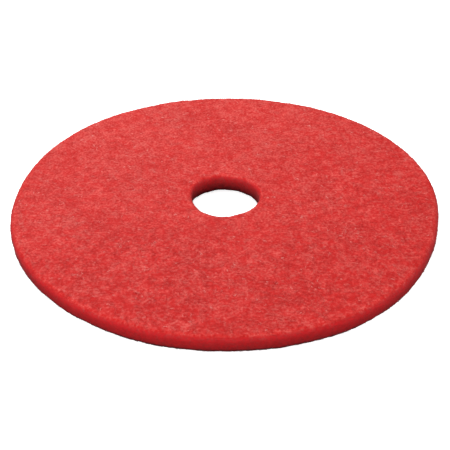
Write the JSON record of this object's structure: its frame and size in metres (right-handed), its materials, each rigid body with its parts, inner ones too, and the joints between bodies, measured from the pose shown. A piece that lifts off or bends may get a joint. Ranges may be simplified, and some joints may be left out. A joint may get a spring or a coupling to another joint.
{
  "type": "floor pad",
  "caption": "Round non-woven floor pad with a centre hole, held by a rotary floor machine's pad driver to buff and spray-clean hard floors.",
  "frame": {"origin": "on the pad's axis, in the lower face, which lies on the floor", "axes": "+Z along the pad's axis, up from the floor face to the driver face; the pad looks the same all the way round, so +X and +Y are any two radii at a right angle"},
  "size_m": [0.508, 0.508, 0.022],
  "materials": {
    "red_fibre": "matte"
  },
  "bodies": {
    "root": {"floor_pad": "red_fibre"}
  },
  "joints": []
}
